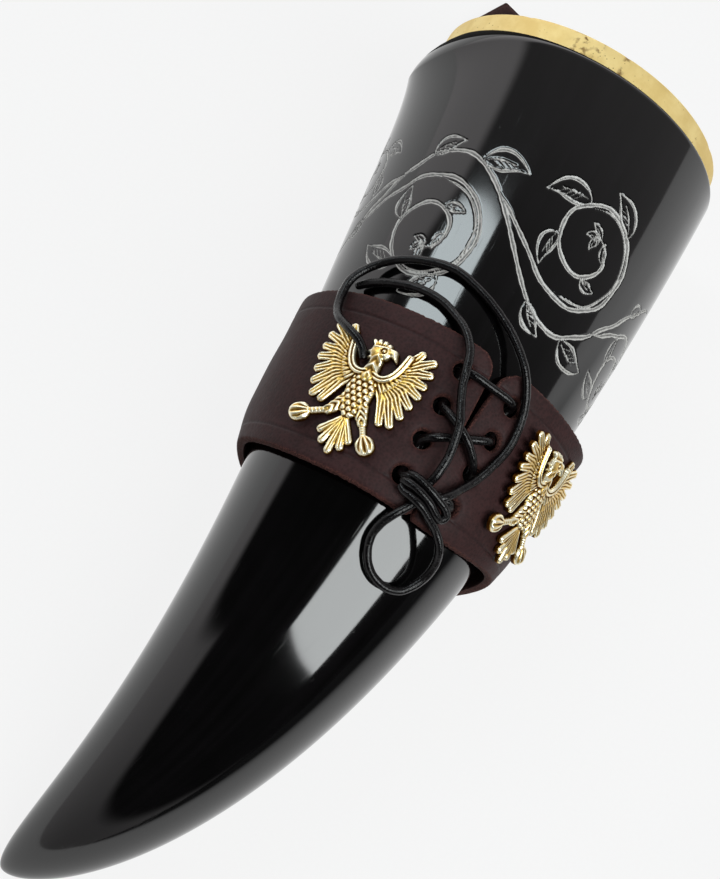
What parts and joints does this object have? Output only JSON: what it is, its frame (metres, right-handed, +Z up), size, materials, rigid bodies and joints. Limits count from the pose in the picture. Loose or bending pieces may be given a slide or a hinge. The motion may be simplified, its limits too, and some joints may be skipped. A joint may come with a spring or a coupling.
{
  "type": "drinking horn",
  "caption": "Curved polished horn for drinking, with a brass rim, held in a laced leather cuff with eagle ornaments and a pointed hanging strap.",
  "frame": {"origin": "middle of the mouth, on the front plane of the brass rim ring, with the horn lying on its strap", "axes": "+X the way the mouth faces, level; +Z up as it lies; +Y to the side that the horn curls to"},
  "size_m": [0.2577, 0.0834, 0.0783],
  "materials": {
    "horn": "polished black horn with shallow pale engraving",
    "rim_brass": "satin, lightly worn",
    "cuff_leather": "fine grain, matt",
    "lace_leather": "round cord, waxed",
    "eagle_gold": "cast relief, antiqued",
    "strap_leather": "fine grain, matt",
    "fastener_brass": "plain, dull"
  },
  "bodies": {
    "holder": {"leather_cuff": "cuff_leather", "lace_weave": "lace_leather", "lace_knot": "lace_leather", "lace_long_end": "lace_leather", "lace_short_end": "lace_leather", "lace_bow_loop": "lace_leather", "eagle_left": "eagle_gold", "eagle_right": "eagle_gold", "eagle_left_screw": "fastener_brass", "eagle_right_screw": "fastener_brass", "hanging_strap": "strap_leather", "front_rivet": "fastener_brass", "front_rivet_cap": "fastener_brass", "rear_rivet": "fastener_brass", "rear_rivet_cap": "fastener_brass"},
    "horn": {"horn_shell": "horn", "rim_ring": "rim_brass"}
  },
  "joints": [
    {"name": "horn_draw", "type": "slide", "parent": "holder", "child": "horn", "axis": [0.9857, -0.0949, 0.1392], "range_m": [0, 0.16]}
  ]
}
